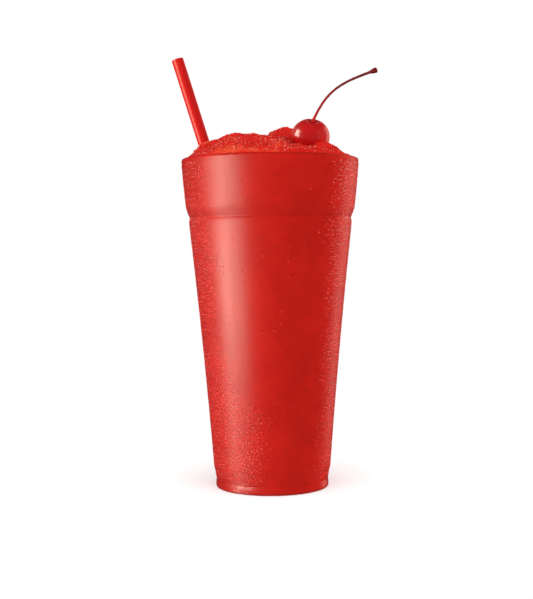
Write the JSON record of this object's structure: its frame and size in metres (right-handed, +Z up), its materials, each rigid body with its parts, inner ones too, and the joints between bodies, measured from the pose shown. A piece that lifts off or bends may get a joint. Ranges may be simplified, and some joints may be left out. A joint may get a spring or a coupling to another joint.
{
  "type": "frozen slush drink",
  "caption": "Tall clear cup filled and heaped with frozen slush, with a straight straw standing in it and a stemmed cherry resting on top.",
  "frame": {"origin": "the cup's axis, in the plane that the foot ring stands on", "axes": "+Z up along the cup's axis; -Y to the front; +X to the right, where the cherry and its stem are, with the straw leaning to -X"},
  "size_m": [0.1088, 0.095, 0.2333],
  "materials": {
    "clear_plastic": "gloss",
    "red_slush": "satin",
    "red_plastic": "gloss",
    "cherry_skin": "polished",
    "stem_skin": "satin"
  },
  "bodies": {
    "drink": {"cup": "clear_plastic", "slush_fill": "red_slush", "slush_mound": "red_slush"},
    "straw": {"straw": "red_plastic"},
    "cherry": {"cherry": "cherry_skin"},
    "stem": {"cherry_stem": "stem_skin"}
  },
  "joints": [
    {"name": "straw_lift", "type": "slide", "parent": "drink", "child": "straw", "axis": [-0.2953, 0.0832, 0.9518], "range_m": [0, 0.25]},
    {"name": "cherry_lift", "type": "slide", "parent": "drink", "child": "cherry", "axis": [0, 0, 1], "range_m": [0, 0.07]},
    {"name": "stem_sway", "type": "hinge", "parent": "cherry", "child": "stem", "pos_m": [0.02234, -0.01719, 0.19405], "axis": [0, 1, 0], "range_deg": [-18, 18], "stiffness_Nm_per_rad": 0.002}
  ]
}
